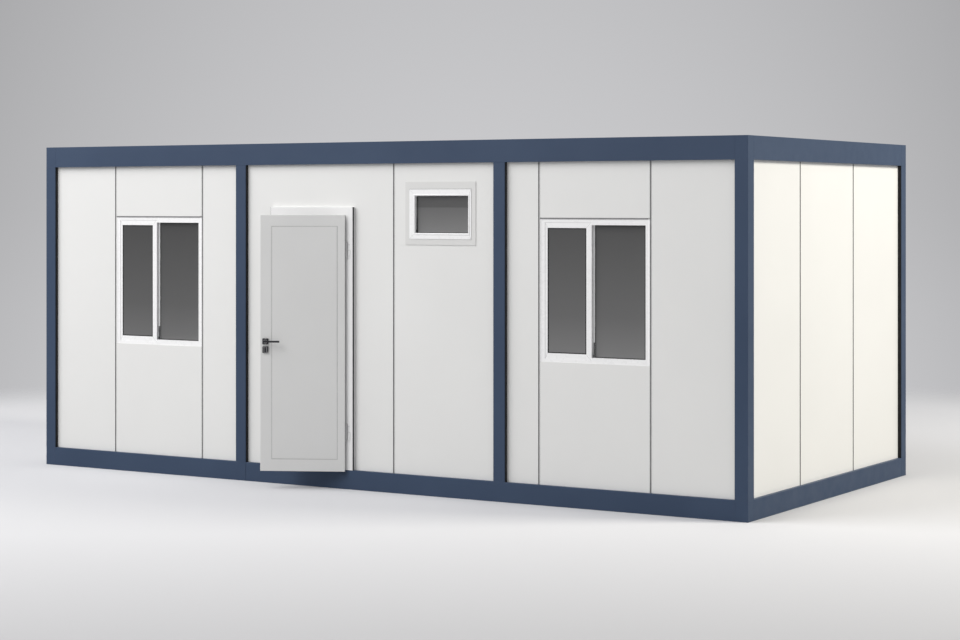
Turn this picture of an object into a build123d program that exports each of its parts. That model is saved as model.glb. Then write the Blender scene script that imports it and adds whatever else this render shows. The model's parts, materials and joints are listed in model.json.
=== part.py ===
from build123d import *
import os
from math import atan2, cos, degrees, radians, sin

# Portable site cabin: a steel frame of rails and posts, insulated wall panels set back between
# them, two sliding windows, a small high window and an outward-opening door that stands ajar.
# Millimetres. +X runs along the front from left to right, +Y from the front to the back and
# +Z up. The origin is the centre of the underside.

os.makedirs("parts", exist_ok=True)

# ---- Driving dimensions ----

# Steel frame
cabin_length = 6400
cabin_depth = 3050
cabin_height = 2650
bottom_rail_height = 147
top_rail_height = 167
post_size = 100  # corner posts and corner blocks are square, and the rails are as deep
mid_post_width = 98
steel_thickness = 5
steel_radius = 2  # rolled corners of posts and rails
block_chamfer = 1.5
seam_width = 3  # butt weld line across the front bottom rail
seam_depth = 1.5
left_post_from_end = 2045
right_post_from_end = 1983

# Floor, ceiling and roof
deck_thickness = 22
joist_width = 50
joist_gauge = 3
joist_count = 11
joist_end_gap = 100  # end joist centres from the end rails
ceiling_thickness = 20
purlin_height = 110
purlin_count = 9
purlin_end_gap = 100
roof_gauge = 2
roof_edge_gap = 3
rib_height = 30
rib_base = 90
rib_slope = 60  # degrees
rib_count = 30

# Wall panels
panel_recess = 30  # outer skins stand this far behind the frame's faces
joint_width = 16
joint_depth = 10
panel_gap = 0.4  # working gap inside each panel joint
end_joint_from_corner = (973, 1995)
back_panel_counts = (2, 2, 2)  # panels in each bay of the back wall

# Sliding windows
window_bay_width = 904  # joint to joint
window_bottom = 1037
window_height = 1032
window_recess = 3  # frame face behind the outer skin
window_reveal = 16  # sloped strip each side that leads from the skin back to that face
window_drip_height = 10
left_window_from_end = 1187
right_window_from_end = 1209
front_lip = 2  # thickness of the frame in front of the outer sash
track_lip = 3  # wall between the two channels
track_cover = 22  # width of the lips round the outer sash
cover_rail = 42  # width of the fixed covers in front of the inner sash
cover_stile = 19
track_floor = 16  # height of the channel bottoms
sash_thickness = 18
sash_play = 0.5
pane_thickness = 12
pane_tuck = 8
bead = 2  # bevel that leads down to the glass
left_sash_stile = 27
left_sash_rail = 48
outer_meeting_stile = 44
outer_stile_from_centre = 24  # its free edge, left of the window's centre
right_sash_stile = 16
right_sash_rail = 25
inner_meeting_stile = 54
inner_stile_from_centre = 8
latch_width = 5
latch_height = 108
latch_proud = 6
latch_foot_height = 22
latch_foot_proud = 12

# Small high window
small_window_drop = 381  # centre below the top rail
trim_width = 620
trim_height = 472
trim_rise = 6  # trim's centre above the window's
trim_proud = 4
small_frame_width = 544
small_frame_height = 371
small_frame_proud = 7
small_left_stile = 51
small_right_stile = 27
small_top_rail = 50
small_bottom_rail = 44
small_bead = 3  # bevel round the opening
small_pane_set_back = 24  # behind the frame's front

# Middle bay: shares of the width that the door frame and the small window's trim leave, in turn
# from the left post: to the door frame, on to the panel joint, on to the trim, on to the post
middle_bay_shares = (0.28, 0.41, 0.12, 0.19)

# Door
leaf_width = 654
leaf_bottom = 136
leaf_top = 2094
leaf_lip = 15
leaf_body = 25
leaf_overlap = 15  # lip over the frame
leaf_clearance = 5  # lip in front of the frame
leaf_side_clearance = 6
frame_margin = 61  # frame seen beside and above the leaf
leaf_edge_chamfer = 1.5
lock_border = 86  # from the leaf's edges to the fine groove round its inner panel
hinge_border = 56
top_border = 84
bottom_border = 90
leaf_groove = 6
leaf_groove_depth = 2
ajar_angle = 26.5
frame_chamfer = 2

# Hinges
barrel_radius = 8
barrel_length = 125
hinge_from_bottom = 302
hinge_from_top = 268
hinge_wing = 3
hinge_wing_width = 32
hinge_side_gap = 1  # barrel to the leaf's edge
barrel_gap = 0.5
pin_radius = 4
pin_clearance = 0.08

# Lever handle
lever_height = 1127
key_height = 1064
lever_from_edge = 41
rose_size = 46
rose_thickness = 8
rose_radius = 6
key_plate_width = 45
key_plate_height = 52
inner_plate_width = 28  # narrow plate, clear of the jamb
inner_plate_height = 190
spindle_radius = 8
spindle_clearance = 0.3
lever_neck = 42
lever_bar_height = 14
lever_bar_depth = 9
lever_reach = 113

# ---- Derived levels and places ----

half_length = cabin_length / 2
half_depth = cabin_depth / 2
wall_bottom = bottom_rail_height
wall_top = cabin_height - top_rail_height
wall_height = wall_top - wall_bottom
panel_thickness = post_size - panel_recess
panel_face = -half_depth + panel_recess
room_half_length = half_length - post_size
room_half_depth = half_depth - post_size
long_run = 2 * room_half_length
short_run = 2 * room_half_depth
joist_height = bottom_rail_height - steel_thickness - deck_thickness
joist_pitch = (long_run - 2 * joist_end_gap) / (joist_count - 1)
purlin_pitch = (long_run - 2 * purlin_end_gap) / (purlin_count - 1)
rib_pitch = (long_run - 2 * roof_edge_gap) / rib_count
purlin_foot = wall_top + steel_thickness
roof_foot = purlin_foot + purlin_height

# Places along the front, measured from the left end
left_post = left_post_from_end
right_post = cabin_length - right_post_from_end
left_window = left_window_from_end
right_window = cabin_length - right_window_from_end
half_bay = window_bay_width / 2
window_top = window_bottom + window_height
middle_bay_start = left_post + mid_post_width / 2
middle_bay_end = right_post - mid_post_width / 2
door_frame_width = leaf_width + 2 * frame_margin
spare = middle_bay_end - middle_bay_start - door_frame_width - trim_width
door_frame_left = middle_bay_start + spare * middle_bay_shares[0]
door_frame_right = door_frame_left + door_frame_width
door_centre = (door_frame_left + door_frame_right) / 2
door_joint = door_frame_right + spare * middle_bay_shares[1]
small_window = door_joint + spare * middle_bay_shares[2] + trim_width / 2
small_window_centre = wall_top - small_window_drop
door_frame_top = leaf_top + frame_margin


# ---- Steel frame ----


def corner_spots():
    """The four corners of the frame, as centres of the posts."""
    return GridLocations(cabin_length - post_size, cabin_depth - post_size, 2, 2)


def corner_blocks(foot, height):
    """Four solid blocks that the rails and the posts end on."""
    with BuildPart() as blocks:
        with BuildSketch(Plane.XY.offset(foot)):
            with corner_spots():
                Rectangle(post_size, post_size)
        extrude(amount=height)
        chamfer(blocks.edges(), block_chamfer)
    return blocks.part


def rolled_channel(height):
    """C-section open inwards: x runs in from the outer face, y runs up."""
    with BuildSketch() as section:
        with Locations((post_size / 2, height / 2)):
            Rectangle(post_size, height)
        fillet(section.vertices().group_by(Axis.X)[0], steel_radius)
        with Locations(((post_size + steel_thickness) / 2, height / 2)):
            Rectangle(post_size - steel_thickness, height - 2 * steel_thickness, mode=Mode.SUBTRACT)
    return section.sketch


def rail(start, inwards, foot, height, run):
    """A rolled rail from one corner block to the next, walking with the room on the left."""
    along = Vector(*inwards).cross(Vector(0, 0, 1))
    with BuildPart() as member:
        with BuildSketch(Plane(origin=(*start, foot), x_dir=inwards, z_dir=along)):
            add(rolled_channel(height))
        extrude(amount=run)
    return member.part


rail_starts = {
    "front": ((-room_half_length, -half_depth), (0, 1, 0), long_run),
    "back": ((room_half_length, half_depth), (0, -1, 0), long_run),
    "left": ((-half_length, room_half_depth), (1, 0, 0), short_run),
    "right": ((half_length, -room_half_depth), (-1, 0, 0), short_run),
}

for level, foot, height in (
    ("bottom", 0, bottom_rail_height),
    ("top", wall_top, top_rail_height),
):
    blocks = corner_blocks(foot, height)
    blocks.label = f"corner_blocks_{level}"
    export_step(blocks, f"parts/{blocks.label}.step")
    for side, (start, inwards, run) in rail_starts.items():
        member = rail(start, inwards, foot, height, run)
        if (level, side) == ("bottom", "front"):
            with BuildPart() as seamed:
                add(member)
                with Locations((left_post - half_length + mid_post_width / 2, -half_depth, height / 2)):
                    Box(seam_width, 2 * seam_depth, height, mode=Mode.SUBTRACT)
            member = seamed.part
        member.label = f"{level}_rail_{side}"
        export_step(member, f"parts/{member.label}.step")

with BuildPart() as corner_posts:
    with BuildSketch(Plane.XY.offset(wall_bottom)):
        with corner_spots():
            RectangleRounded(post_size, post_size, steel_radius)
            Rectangle(post_size - 2 * steel_thickness, post_size - 2 * steel_thickness, mode=Mode.SUBTRACT)
    extrude(amount=wall_height)
corner_posts.part.label = "corner_posts"
export_step(corner_posts.part, "parts/corner_posts.step")

mid_post_spots = [
    (x - half_length, side * (half_depth - post_size / 2))
    for x in (left_post, right_post)
    for side in (-1, 1)
]
with BuildPart() as mid_posts:
    with BuildSketch(Plane.XY.offset(wall_bottom)):
        with Locations(*mid_post_spots):
            RectangleRounded(mid_post_width, post_size, steel_radius)
            Rectangle(
                mid_post_width - 2 * steel_thickness, post_size - 2 * steel_thickness, mode=Mode.SUBTRACT
            )
    extrude(amount=wall_height)
mid_posts.part.label = "mid_posts"
export_step(mid_posts.part, "parts/mid_posts.step")

# ---- Floor, ceiling and roof ----

with BuildPart() as floor_pan:
    with BuildSketch():
        Rectangle(long_run, short_run)
    extrude(amount=steel_thickness)
floor_pan.part.label = "floor_pan"
export_step(floor_pan.part, "parts/floor_pan.step")


def cross_members(foot, height, count, pitch):
    """Light channels that span the cabin inside the long rails."""
    with BuildPart() as members:
        with BuildSketch(Plane.XZ):
            with Locations((0, foot + height / 2)):
                with GridLocations(pitch, 0, count, 1):
                    Rectangle(joist_width, height)
            with Locations((joist_gauge / 2, foot + height / 2)):
                with GridLocations(pitch, 0, count, 1):
                    Rectangle(joist_width - joist_gauge, height - 2 * joist_gauge, mode=Mode.SUBTRACT)
        extrude(amount=half_depth - steel_thickness, both=True)
    return members.part


floor_joists = cross_members(steel_thickness, joist_height, joist_count, joist_pitch)
floor_joists.label = "floor_joists"
export_step(floor_joists, "parts/floor_joists.step")

roof_purlins = cross_members(purlin_foot, purlin_height, purlin_count, purlin_pitch)
roof_purlins.label = "roof_purlins"
export_step(roof_purlins, "parts/roof_purlins.step")

with BuildPart() as floor_deck:
    with BuildSketch(Plane.XY.offset(bottom_rail_height - deck_thickness)):
        Rectangle(long_run, short_run)
    extrude(amount=deck_thickness)
floor_deck.part.label = "floor_deck"
export_step(floor_deck.part, "parts/floor_deck.step")

with BuildPart() as ceiling:
    with BuildSketch(Plane.XY.offset(purlin_foot)):
        Rectangle(long_run, short_run)
    extrude(amount=-ceiling_thickness)
ceiling.part.label = "ceiling"
export_step(ceiling.part, "parts/ceiling.step")

with BuildPart() as roof_sheet:
    with BuildSketch(Plane.XZ):
        with Locations((0, roof_foot)):
            Rectangle(long_run - 2 * roof_edge_gap, roof_gauge, align=(Align.CENTER, Align.MIN))
            with GridLocations(rib_pitch, 0, rib_count, 1):
                Trapezoid(rib_base, rib_height + roof_gauge, rib_slope, align=(Align.CENTER, Align.MIN))
            with GridLocations(rib_pitch, 0, rib_count, 1):
                Trapezoid(
                    rib_base - 2 * roof_gauge,
                    rib_height,
                    rib_slope,
                    align=(Align.CENTER, Align.MIN),
                    mode=Mode.SUBTRACT,
                )
    extrude(amount=room_half_depth - roof_edge_gap, both=True)
roof_sheet.part.label = "roof_sheet"
export_step(roof_sheet.part, "parts/roof_sheet.step")

# ---- Wall panels ----

# On each wall's plan x runs from its left corner, seen from outside, y inwards from the outer
# skin and z up.
front_wall = Plane(origin=(-half_length, panel_face, 0), x_dir=(1, 0, 0))
right_wall = Plane(origin=(half_length - panel_recess, -half_depth, 0), x_dir=(0, 1, 0))
back_wall = Plane(origin=(half_length, -panel_face, 0), x_dir=(-1, 0, 0))
left_wall = Plane(origin=(-half_length + panel_recess, half_depth, 0), x_dir=(0, -1, 0))


def panel_plan(start, end, start_joint=False, end_joint=False):
    """Plan of a panel, its outer corners rebated where it meets another panel."""
    low = start + panel_gap / 2 if start_joint else start
    high = end - panel_gap / 2 if end_joint else end
    with BuildSketch() as plan:
        with Locations((low, 0)):
            Rectangle(high - low, panel_thickness, align=(Align.MIN, Align.MIN))
        rebate = joint_width / 2 - panel_gap / 2
        if start_joint:
            with Locations((low, 0)):
                Rectangle(rebate, joint_depth, align=(Align.MIN, Align.MIN), mode=Mode.SUBTRACT)
        if end_joint:
            with Locations((high, 0)):
                Rectangle(rebate, joint_depth, align=(Align.MAX, Align.MIN), mode=Mode.SUBTRACT)
    return plan.sketch


def panels(wall, foot, height, spans):
    """Upright panels on one wall: each span is start, end, joint at start, joint at end."""
    with BuildPart() as group:
        with BuildSketch(wall.offset(foot)):
            for span in spans:
                add(panel_plan(*span))
        extrude(amount=height)
    return group.part


front_plain = panels(
    front_wall,
    wall_bottom,
    wall_height,
    (
        (post_size, left_window - half_bay, False, True),
        (left_window + half_bay, left_post - mid_post_width / 2, True, False),
        (right_post + mid_post_width / 2, right_window - half_bay, False, True),
        (right_window + half_bay, cabin_length - post_size, True, False),
    ),
)
front_plain.label = "front_plain_panels"
export_step(front_plain, "parts/front_plain_panels.step")

window_bays = [(centre - half_bay, centre + half_bay, True, True) for centre in (left_window, right_window)]
front_sills = panels(front_wall, wall_bottom, window_bottom - wall_bottom, window_bays)
front_sills.label = "front_sill_panels"
export_step(front_sills, "parts/front_sill_panels.step")

with BuildPart() as front_heads:
    add(panels(front_wall, window_top, wall_top - window_top, window_bays))
    with BuildSketch(front_wall.offset(window_top)):
        for centre in (left_window, right_window):
            with Locations((centre, 0)):
                Rectangle(window_bay_width, joint_depth, align=(Align.CENTER, Align.MIN))
    extrude(amount=window_drip_height, mode=Mode.SUBTRACT)
front_heads.part.label = "front_head_panels"
export_step(front_heads.part, "parts/front_head_panels.step")

door_side_left = panels(
    front_wall, wall_bottom, wall_height, [(middle_bay_start, door_frame_left)]
)
door_side_left.label = "door_side_panel_left"
export_step(door_side_left, "parts/door_side_panel_left.step")

door_side_right = panels(
    front_wall, wall_bottom, wall_height, [(door_frame_right, door_joint, False, True)]
)
door_side_right.label = "door_side_panel_right"
export_step(door_side_right, "parts/door_side_panel_right.step")

door_head = panels(
    front_wall, door_frame_top, wall_top - door_frame_top, [(door_frame_left, door_frame_right)]
)
door_head.label = "door_head_panel"
export_step(door_head, "parts/door_head_panel.step")

# Upright plane of the front panels' outer skins: x from the left end, y up, z outwards.
front_skin = Plane(origin=(-half_length, panel_face, 0), x_dir=(1, 0, 0), z_dir=(0, -1, 0))

with BuildPart() as small_window_panel:
    add(
        panels(
            front_wall,
            wall_bottom,
            wall_height,
            [(door_joint, middle_bay_end, True, False)],
        )
    )
    with BuildSketch(front_skin):
        with Locations((small_window, small_window_centre)):
            Rectangle(small_frame_width, small_frame_height)
    extrude(amount=-panel_thickness, mode=Mode.SUBTRACT)
small_window_panel.part.label = "small_window_panel"
export_step(small_window_panel.part, "parts/small_window_panel.step")


def whole_wall(wall, width, joints):
    """A windowless wall between two corner posts, with a joint at each given place."""
    edges = [post_size, *joints, width - post_size]
    spans = [
        (start, end, place > 0, place < len(joints))
        for place, (start, end) in enumerate(zip(edges, edges[1:]))
    ]
    return panels(wall, wall_bottom, wall_height, spans)


for side, wall, joints in (
    ("right", right_wall, end_joint_from_corner),
    ("left", left_wall, [cabin_depth - joint for joint in reversed(end_joint_from_corner)]),
):
    end_panels = whole_wall(wall, cabin_depth, joints)
    end_panels.label = f"{side}_end_panels"
    export_step(end_panels, f"parts/{end_panels.label}.step")


def bay_spans(start, end, count):
    """Equal panels side by side from one post to the next."""
    pitch = (end - start) / count
    return [
        (start + place * pitch, start + (place + 1) * pitch, place > 0, place < count - 1)
        for place in range(count)
    ]


back_edges = (
    (post_size, right_post_from_end - mid_post_width / 2),
    (right_post_from_end + mid_post_width / 2, cabin_length - left_post - mid_post_width / 2),
    (cabin_length - left_post + mid_post_width / 2, cabin_length - post_size),
)
back_panels = panels(
    back_wall,
    wall_bottom,
    wall_height,
    [
        span
        for (start, end), count in zip(back_edges, back_panel_counts)
        for span in bay_spans(start, end, count)
    ],
)
back_panels.label = "back_panels"
export_step(back_panels, "parts/back_panels.step")

# ---- Sliding windows ----

# A window's own plane lies in the outer skin: x from the window's centre, y up from its foot and
# z outwards.
window_planes = [
    Plane(
        origin=(centre - half_length, panel_face, window_bottom),
        x_dir=(1, 0, 0),
        z_dir=(0, -1, 0),
    )
    for centre in (left_window, right_window)
]
half_reveal = window_bay_width / 2 - joint_width / 2
half_face = half_reveal - window_reveal
half_frame = (window_bay_width - panel_gap) / 2
half_channel = half_face - track_floor
channel_depth = sash_thickness + 2 * sash_play
outer_track = window_recess + front_lip
inner_track = outer_track + channel_depth + track_lip
sash_foot = track_floor + sash_play
sash_head = window_height - track_floor - sash_play

# The frame fills its bay from joint to joint. A sloped strip at each side leads back from the skin
# to the frame's face. The outer sash is fixed in the left half and covers close the right half in
# front of the inner sash, which runs in its own channel behind.
with BuildPart() as window_frames:
    for centre, plane in zip((left_window, right_window), window_planes):
        with BuildSketch(front_wall.offset(window_bottom)):
            for side in (-1, 1):
                with BuildLine():
                    Polyline(
                        (centre + side * half_reveal, 0),
                        (centre + side * half_face, window_recess),
                        (centre + side * half_face, panel_thickness),
                        (centre + side * half_frame, panel_thickness),
                        (centre + side * half_frame, joint_depth),
                        (centre + side * half_reveal, joint_depth),
                        close=True,
                    )
                make_face()
        extrude(amount=window_height)
        with BuildSketch(plane.offset(-window_recess)):
            with Locations((0, window_height / 2)):
                Rectangle(2 * half_face, window_height)
            with Locations((-outer_stile_from_centre, window_height / 2)):
                Rectangle(
                    half_face - track_cover - outer_stile_from_centre,
                    window_height - 2 * track_cover,
                    align=(Align.MAX, Align.CENTER),
                    mode=Mode.SUBTRACT,
                )
                Rectangle(
                    half_face - cover_stile + outer_stile_from_centre,
                    window_height - 2 * cover_rail,
                    align=(Align.MIN, Align.CENTER),
                    mode=Mode.SUBTRACT,
                )
        extrude(amount=-(panel_thickness - window_recess))
        with BuildSketch(plane.offset(-outer_track)):
            with Locations((-half_channel, window_height / 2)):
                Rectangle(
                    half_channel - outer_stile_from_centre + sash_play,
                    window_height - 2 * track_floor,
                    align=(Align.MIN, Align.CENTER),
                )
        extrude(amount=-channel_depth, mode=Mode.SUBTRACT)
        with BuildSketch(plane.offset(-inner_track)):
            with Locations((0, window_height / 2)):
                Rectangle(2 * half_channel, window_height - 2 * track_floor)
        extrude(amount=-channel_depth, mode=Mode.SUBTRACT)
window_frames.part.label = "window_frames"
export_step(window_frames.part, "parts/window_frames.step")


def sashes(track, low, high, low_stile, high_stile, rail_face):
    """Both windows' sashes in one track, and the panes that sit in the grooves inside them."""
    width = high - low
    height = sash_head - sash_foot
    centre = ((low + high) / 2, (sash_foot + sash_head) / 2)
    pane_width = width - low_stile - high_stile
    pane_height = height - 2 * rail_face
    pane_centre = (centre[0] + (low_stile - high_stile) / 2, centre[1])
    front_face = -(track + sash_play)
    pane_face = front_face - (sash_thickness - pane_thickness) / 2
    with BuildPart() as leaves:
        for plane in window_planes:
            with BuildSketch(plane.offset(front_face)):
                with Locations(centre):
                    Rectangle(width, height)
                with Locations(pane_centre):
                    Rectangle(pane_width, pane_height, mode=Mode.SUBTRACT)
            extrude(amount=-sash_thickness)
            with BuildSketch(plane.offset(front_face)):
                with Locations(pane_centre):
                    Rectangle(pane_width + 2 * bead, pane_height + 2 * bead)
            extrude(amount=-bead, taper=45, mode=Mode.SUBTRACT)
            with BuildSketch(plane.offset(pane_face)):
                with Locations(pane_centre):
                    Rectangle(pane_width + 2 * pane_tuck, pane_height + 2 * pane_tuck)
            extrude(amount=-pane_thickness, mode=Mode.SUBTRACT)
    with BuildPart() as panes:
        for plane in window_planes:
            with BuildSketch(plane.offset(pane_face)):
                with Locations(pane_centre):
                    Rectangle(pane_width + 2 * pane_tuck, pane_height + 2 * pane_tuck)
            extrude(amount=-pane_thickness)
    return leaves.part, panes.part


left_sashes, left_panes = sashes(
    outer_track,
    -half_channel + sash_play,
    -outer_stile_from_centre,
    left_sash_stile,
    outer_meeting_stile,
    left_sash_rail,
)
left_sashes.label = "window_left_sashes"
export_step(left_sashes, "parts/window_left_sashes.step")
left_panes.label = "window_left_panes"
export_step(left_panes, "parts/window_left_panes.step")

right_sashes, right_panes = sashes(
    inner_track,
    -inner_stile_from_centre - inner_meeting_stile,
    half_channel - sash_play,
    inner_meeting_stile,
    right_sash_stile,
    right_sash_rail,
)
right_sashes.label = "window_right_sashes"
export_step(right_sashes, "parts/window_right_sashes.step")
right_panes.label = "window_right_panes"
export_step(right_panes, "parts/window_right_panes.step")

# A slim latch stands on each inner meeting stile, just clear of the outer sash.
inner_sash_face = -(inner_track + sash_play)
latch_x = -inner_stile_from_centre - bead - latch_width / 2
latch_bottom = cover_rail + sash_play
with BuildPart() as window_latches:
    for plane in window_planes:
        for height, proud in ((latch_height, latch_proud), (latch_foot_height, latch_foot_proud)):
            with BuildSketch(plane.offset(inner_sash_face)):
                with Locations((latch_x, latch_bottom)):
                    Rectangle(latch_width, height, align=(Align.CENTER, Align.MIN))
            extrude(amount=proud)
window_latches.part.label = "window_latches"
export_step(window_latches.part, "parts/window_latches.step")

# ---- Small high window ----

small_plane = Plane(
    origin=(small_window - half_length, panel_face, small_window_centre), x_dir=(1, 0, 0), z_dir=(0, -1, 0)
)

with BuildPart() as small_window_trim:
    with BuildSketch(small_plane):
        with Locations((0, trim_rise)):
            Rectangle(trim_width, trim_height)
        Rectangle(small_frame_width, small_frame_height, mode=Mode.SUBTRACT)
    extrude(amount=trim_proud)
small_window_trim.part.label = "small_window_trim"
export_step(small_window_trim.part, "parts/small_window_trim.step")

small_pane_width = small_frame_width - small_left_stile - small_right_stile
small_pane_height = small_frame_height - small_top_rail - small_bottom_rail
small_pane_centre = ((small_left_stile - small_right_stile) / 2, (small_bottom_rail - small_top_rail) / 2)
with BuildPart() as small_window_frame:
    with BuildSketch(small_plane.offset(small_frame_proud)):
        Rectangle(small_frame_width, small_frame_height)
        with Locations(small_pane_centre):
            Rectangle(small_pane_width, small_pane_height, mode=Mode.SUBTRACT)
    extrude(amount=-(small_frame_proud + panel_thickness))
    with BuildSketch(small_plane.offset(small_frame_proud)):
        with Locations(small_pane_centre):
            Rectangle(small_pane_width + 2 * small_bead, small_pane_height + 2 * small_bead)
    extrude(amount=-small_bead, taper=45, mode=Mode.SUBTRACT)
    with BuildSketch(small_plane.offset(small_frame_proud - small_pane_set_back)):
        with Locations(small_pane_centre):
            Rectangle(small_pane_width + 2 * pane_tuck, small_pane_height + 2 * pane_tuck)
    extrude(amount=-pane_thickness, mode=Mode.SUBTRACT)
small_window_frame.part.label = "small_window_frame"
export_step(small_window_frame.part, "parts/small_window_frame.step")

with BuildPart() as small_window_pane:
    with BuildSketch(small_plane.offset(small_frame_proud - small_pane_set_back)):
        with Locations(small_pane_centre):
            Rectangle(small_pane_width + 2 * pane_tuck, small_pane_height + 2 * pane_tuck)
    extrude(amount=-pane_thickness)
small_window_pane.part.label = "small_window_pane"
export_step(small_window_pane.part, "parts/small_window_pane.step")

# ---- Door frame ----

jamb_face = frame_margin + leaf_overlap
door_frame_depth = panel_recess + panel_thickness
opening_left = door_frame_left + jamb_face
opening_right = door_frame_right - jamb_face
opening_top = door_frame_top - jamb_face
frame_front = front_skin.offset(panel_recess)

with BuildPart() as door_jamb_left:
    with BuildSketch(frame_front):
        with BuildLine():
            Polyline(
                (door_frame_left, wall_bottom),
                (opening_left, wall_bottom),
                (opening_left, opening_top),
                (door_frame_left, door_frame_top),
                close=True,
            )
        make_face()
    extrude(amount=-door_frame_depth)
    chamfer(door_jamb_left.edges().filter_by(Axis.Z).group_by(Axis.Y)[0].sort_by(Axis.X)[0], frame_chamfer)
door_jamb_left.part.label = "door_jamb_left"
export_step(door_jamb_left.part, "parts/door_jamb_left.step")

with BuildPart() as door_jamb_right:
    with BuildSketch(frame_front):
        with BuildLine():
            Polyline(
                (opening_right, wall_bottom),
                (door_frame_right, wall_bottom),
                (door_frame_right, door_frame_top),
                (opening_right, opening_top),
                close=True,
            )
        make_face()
    extrude(amount=-door_frame_depth)
    chamfer(door_jamb_right.edges().filter_by(Axis.Z).group_by(Axis.Y)[0].sort_by(Axis.X)[-1], frame_chamfer)
door_jamb_right.part.label = "door_jamb_right"
export_step(door_jamb_right.part, "parts/door_jamb_right.step")

with BuildPart() as door_frame_head:
    with BuildSketch(frame_front):
        with BuildLine():
            Polyline(
                (opening_left, opening_top),
                (opening_right, opening_top),
                (door_frame_right, door_frame_top),
                (door_frame_left, door_frame_top),
                close=True,
            )
        make_face()
    extrude(amount=-door_frame_depth)
    chamfer(door_frame_head.edges().filter_by(Axis.X).group_by(Axis.Y)[0].sort_by(Axis.Z)[-1], frame_chamfer)
door_frame_head.part.label = "door_frame_head"
export_step(door_frame_head.part, "parts/door_frame_head.step")

# ---- Door leaf ----

# The hinge axis stands beside the leaf's right edge, one barrel radius in front of the frame.
hinge_x = door_centre - half_length + leaf_width / 2 + barrel_radius + hinge_side_gap
hinge_y = -half_depth - barrel_radius
turn = radians(ajar_angle)
# Plan of the leaf as it stands: x along the leaf towards the hinge and past it, y inwards.
leaf_plan = Plane(origin=(hinge_x, hinge_y, 0), x_dir=(cos(turn), sin(turn), 0))
# The leaf's upright plane through the hinge axis: x as above, y up and z outwards.
leaf_upright = Plane(
    origin=(hinge_x, hinge_y, 0), x_dir=(cos(turn), sin(turn), 0), z_dir=(sin(turn), -cos(turn), 0)
)
# Distances from the hinge axis, outwards positive.
lip_back = leaf_clearance - barrel_radius
lip_front = lip_back + leaf_lip
body_back = lip_back - leaf_body
leaf_edge = -(barrel_radius + hinge_side_gap)
leaf_middle = leaf_edge - leaf_width / 2
leaf_height = leaf_top - leaf_bottom
body_inset = leaf_overlap + leaf_side_clearance
body_bottom = wall_bottom + leaf_clearance
body_top = leaf_top - leaf_overlap - leaf_side_clearance
lever_x = leaf_edge - leaf_width + lever_from_edge
inner_panel_width = leaf_width - lock_border - hinge_border
inner_panel_height = leaf_height - top_border - bottom_border
inner_panel_x = leaf_middle + (lock_border - hinge_border) / 2
inner_panel_z = leaf_bottom + bottom_border + inner_panel_height / 2

with BuildPart() as door_leaf:
    with BuildSketch(leaf_upright.offset(lip_back)):
        with Locations((leaf_middle, leaf_bottom)):
            Rectangle(leaf_width, leaf_height, align=(Align.CENTER, Align.MIN))
    extrude(amount=leaf_lip)
    outwards = Axis(leaf_upright.origin, leaf_upright.z_dir)
    chamfer(door_leaf.faces().sort_by(outwards)[-1].edges(), leaf_edge_chamfer)
    with BuildSketch(leaf_upright.offset(lip_back)):
        with Locations((leaf_middle, body_bottom)):
            Rectangle(leaf_width - 2 * body_inset, body_top - body_bottom, align=(Align.CENTER, Align.MIN))
    extrude(amount=-leaf_body)
    with BuildSketch(leaf_upright.offset(lip_front)):
        with Locations((inner_panel_x, inner_panel_z)):
            Rectangle(inner_panel_width, inner_panel_height)
            Rectangle(
                inner_panel_width - 2 * leaf_groove,
                inner_panel_height - 2 * leaf_groove,
                mode=Mode.SUBTRACT,
            )
    extrude(amount=-leaf_groove_depth, mode=Mode.SUBTRACT)
    with BuildSketch(leaf_upright.offset(lip_front)):
        with Locations((lever_x, lever_height)):
            Circle(spindle_radius + spindle_clearance)
    extrude(amount=-(leaf_lip + leaf_body), mode=Mode.SUBTRACT)
door_leaf.part.label = "door_leaf"
export_step(door_leaf.part, "parts/door_leaf.step")

# ---- Hinges: the lower half of each barrel and its pin on the jamb, the upper half on the leaf ----

hinge_centres = (leaf_bottom + hinge_from_bottom, leaf_top - hinge_from_top)
half_barrel = barrel_length / 2
jamb_plan = Plane(origin=(hinge_x, hinge_y, 0), x_dir=(1, 0, 0))

with BuildPart() as jamb_hinges:
    for centre in hinge_centres:
        foot = centre - half_barrel
        with BuildSketch(jamb_plan.offset(foot)):
            Circle(barrel_radius)
            with Locations((0, barrel_radius)):
                Rectangle(hinge_wing_width, hinge_wing, align=(Align.MIN, Align.MAX))
        extrude(amount=half_barrel - barrel_gap)
        with BuildSketch(jamb_plan.offset(foot)):
            Circle(pin_radius)
        extrude(amount=barrel_length - 2 * barrel_gap)
jamb_hinges.part.label = "jamb_hinges"
export_step(jamb_hinges.part, "parts/jamb_hinges.step")

with BuildPart() as leaf_hinges:
    for centre in hinge_centres:
        with BuildSketch(leaf_plan.offset(centre)):
            Circle(barrel_radius)
            with Locations((leaf_edge, -lip_back)):
                Rectangle(hinge_wing, leaf_lip, align=(Align.MIN, Align.MAX))
            Circle(pin_radius + pin_clearance, mode=Mode.SUBTRACT)
        extrude(amount=half_barrel)
leaf_hinges.part.label = "leaf_hinges"
export_step(leaf_hinges.part, "parts/leaf_hinges.step")

# ---- Lever set ----

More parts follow.
